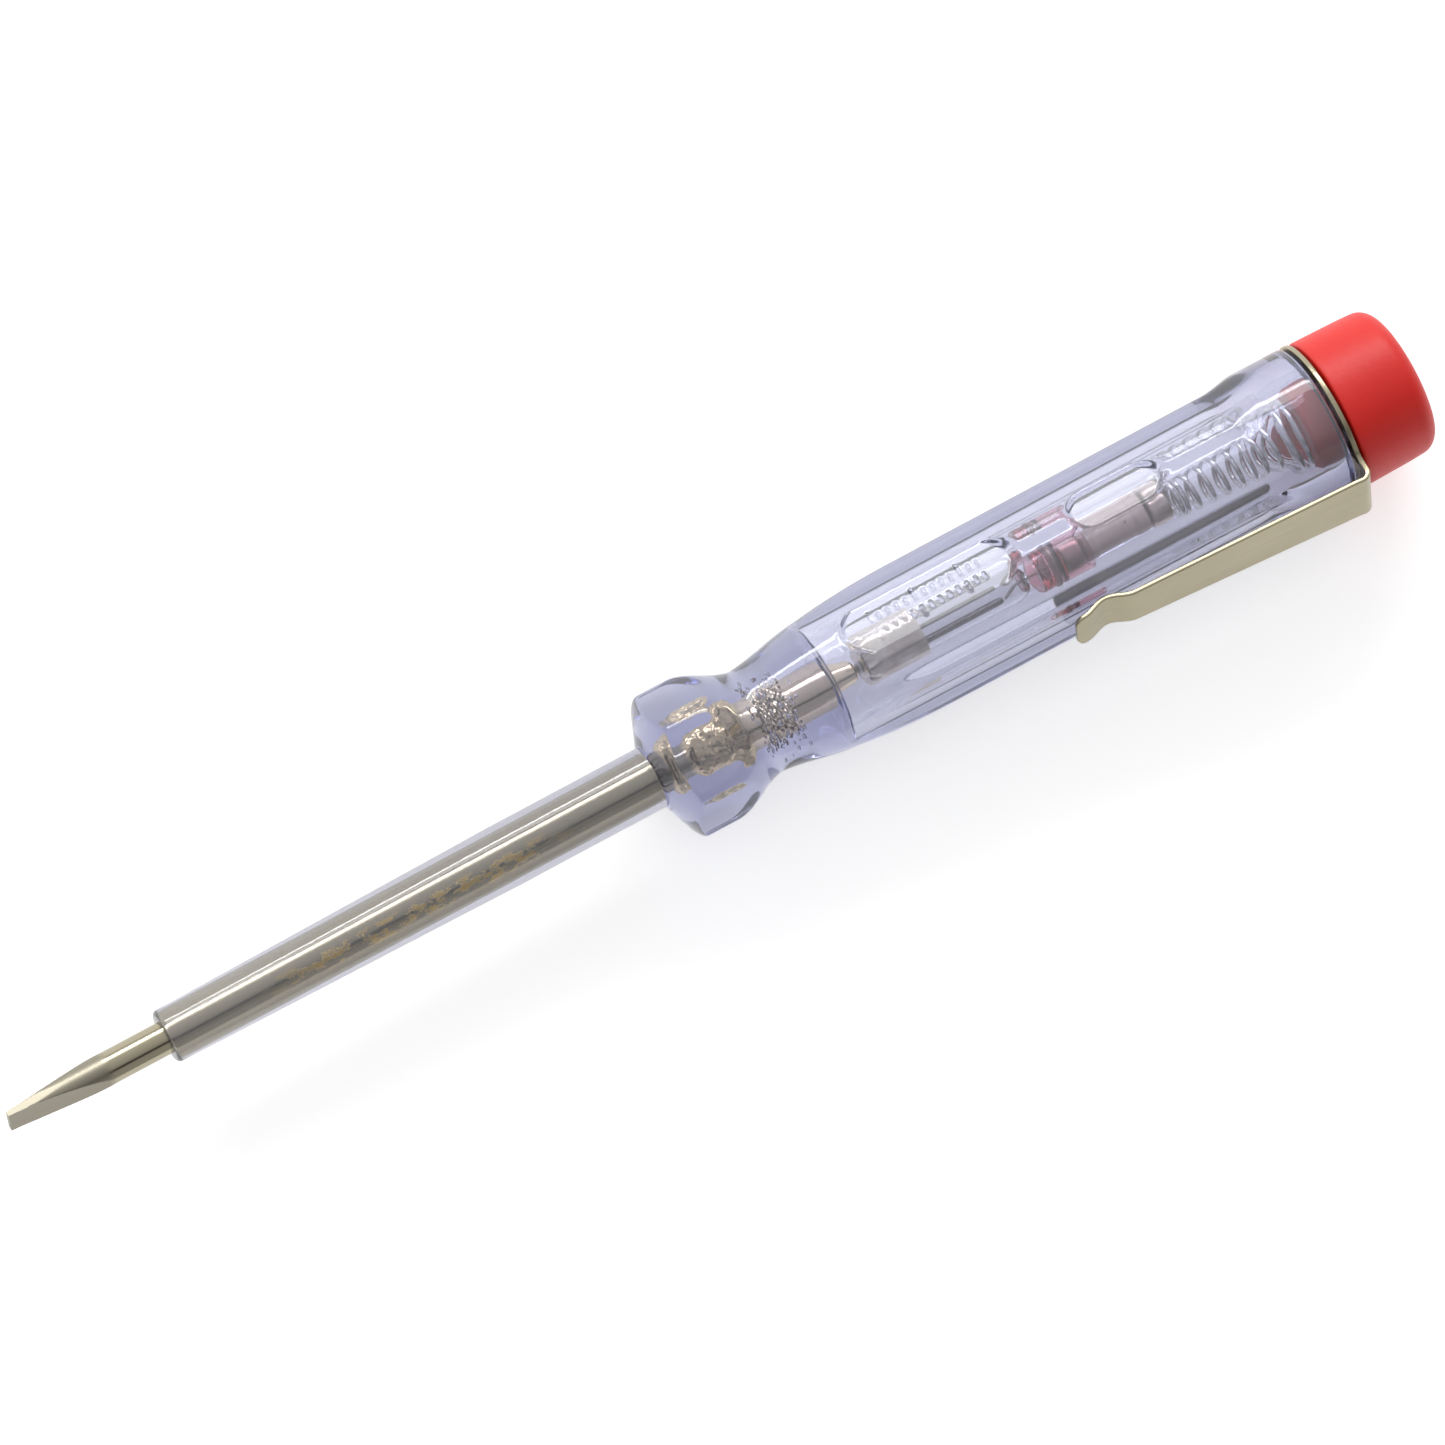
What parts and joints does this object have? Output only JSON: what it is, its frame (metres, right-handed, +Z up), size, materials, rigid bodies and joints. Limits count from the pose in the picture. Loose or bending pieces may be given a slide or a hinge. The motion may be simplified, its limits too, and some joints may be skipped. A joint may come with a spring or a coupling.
{
  "type": "mains tester screwdriver",
  "caption": "Slotted screwdriver with an insulated blade, a clear handle holding a neon lamp, resistor and spring, a red push-in cap and a pocket clip.",
  "frame": {"origin": "middle of the blade's flat tip, on the tool's axis", "axes": "+X along the tool from the tip to the red cap; +Z up, the normal of a handle flat, with the tool lying down; the pocket clip is on the -Y side, above the axis"},
  "size_m": [0.14, 0.0163, 0.0144],
  "materials": {
    "plated_steel": "nickel plated, lightly scratched",
    "clear_plastic": "clear lavender tinted, glossy",
    "contact_metal": "nickel plated brass",
    "solder": "dull solder",
    "lamp_glass": "clear glass",
    "lead_wire": "tinned wire",
    "electrode": "matt grey",
    "clear_red_plastic": "clear red",
    "resistor_cap": "tarnished tin plate",
    "resistor": "tan lacquer",
    "spring_steel": "bright spring wire",
    "clip_nickel": "nickel plated sheet",
    "red_plastic": "satin red"
  },
  "bodies": {
    "handle": {"handle_body": "clear_plastic", "blade_rod": "plated_steel", "blade_sleeve": "clear_plastic", "lamp_ferrule": "contact_metal", "lamp_solder_dot": "solder", "lamp_glass": "lamp_glass", "lamp_stem": "lamp_glass", "lamp_lead_front": "lead_wire", "lamp_lead_rear": "lead_wire", "lamp_electrode_left": "electrode", "lamp_electrode_right": "electrode", "lamp_seat_ring": "clear_red_plastic", "contact_disc": "contact_metal", "resistor_holder": "clear_red_plastic", "resistor_cap_front": "resistor_cap", "resistor_body": "resistor", "resistor_cap_rear": "resistor_cap", "contact_spring": "spring_steel", "clip_ring": "clip_nickel"},
    "cap": {"end_cap": "red_plastic"},
    "clip": {"clip_arm": "clip_nickel"}
  },
  "joints": [
    {"name": "cap_pull", "type": "slide", "parent": "handle", "child": "cap", "axis": [1, 0, 0], "range_m": [0, 0.012], "deforming": ["contact_spring"]},
    {"name": "clip_flex", "type": "hinge", "parent": "handle", "child": "clip", "pos_m": [0.13125, -0.00697, 0.00402], "axis": [0, 0.5, 0.866], "range_deg": [0, 8], "stiffness_Nm_per_rad": 0.4}
  ]
}
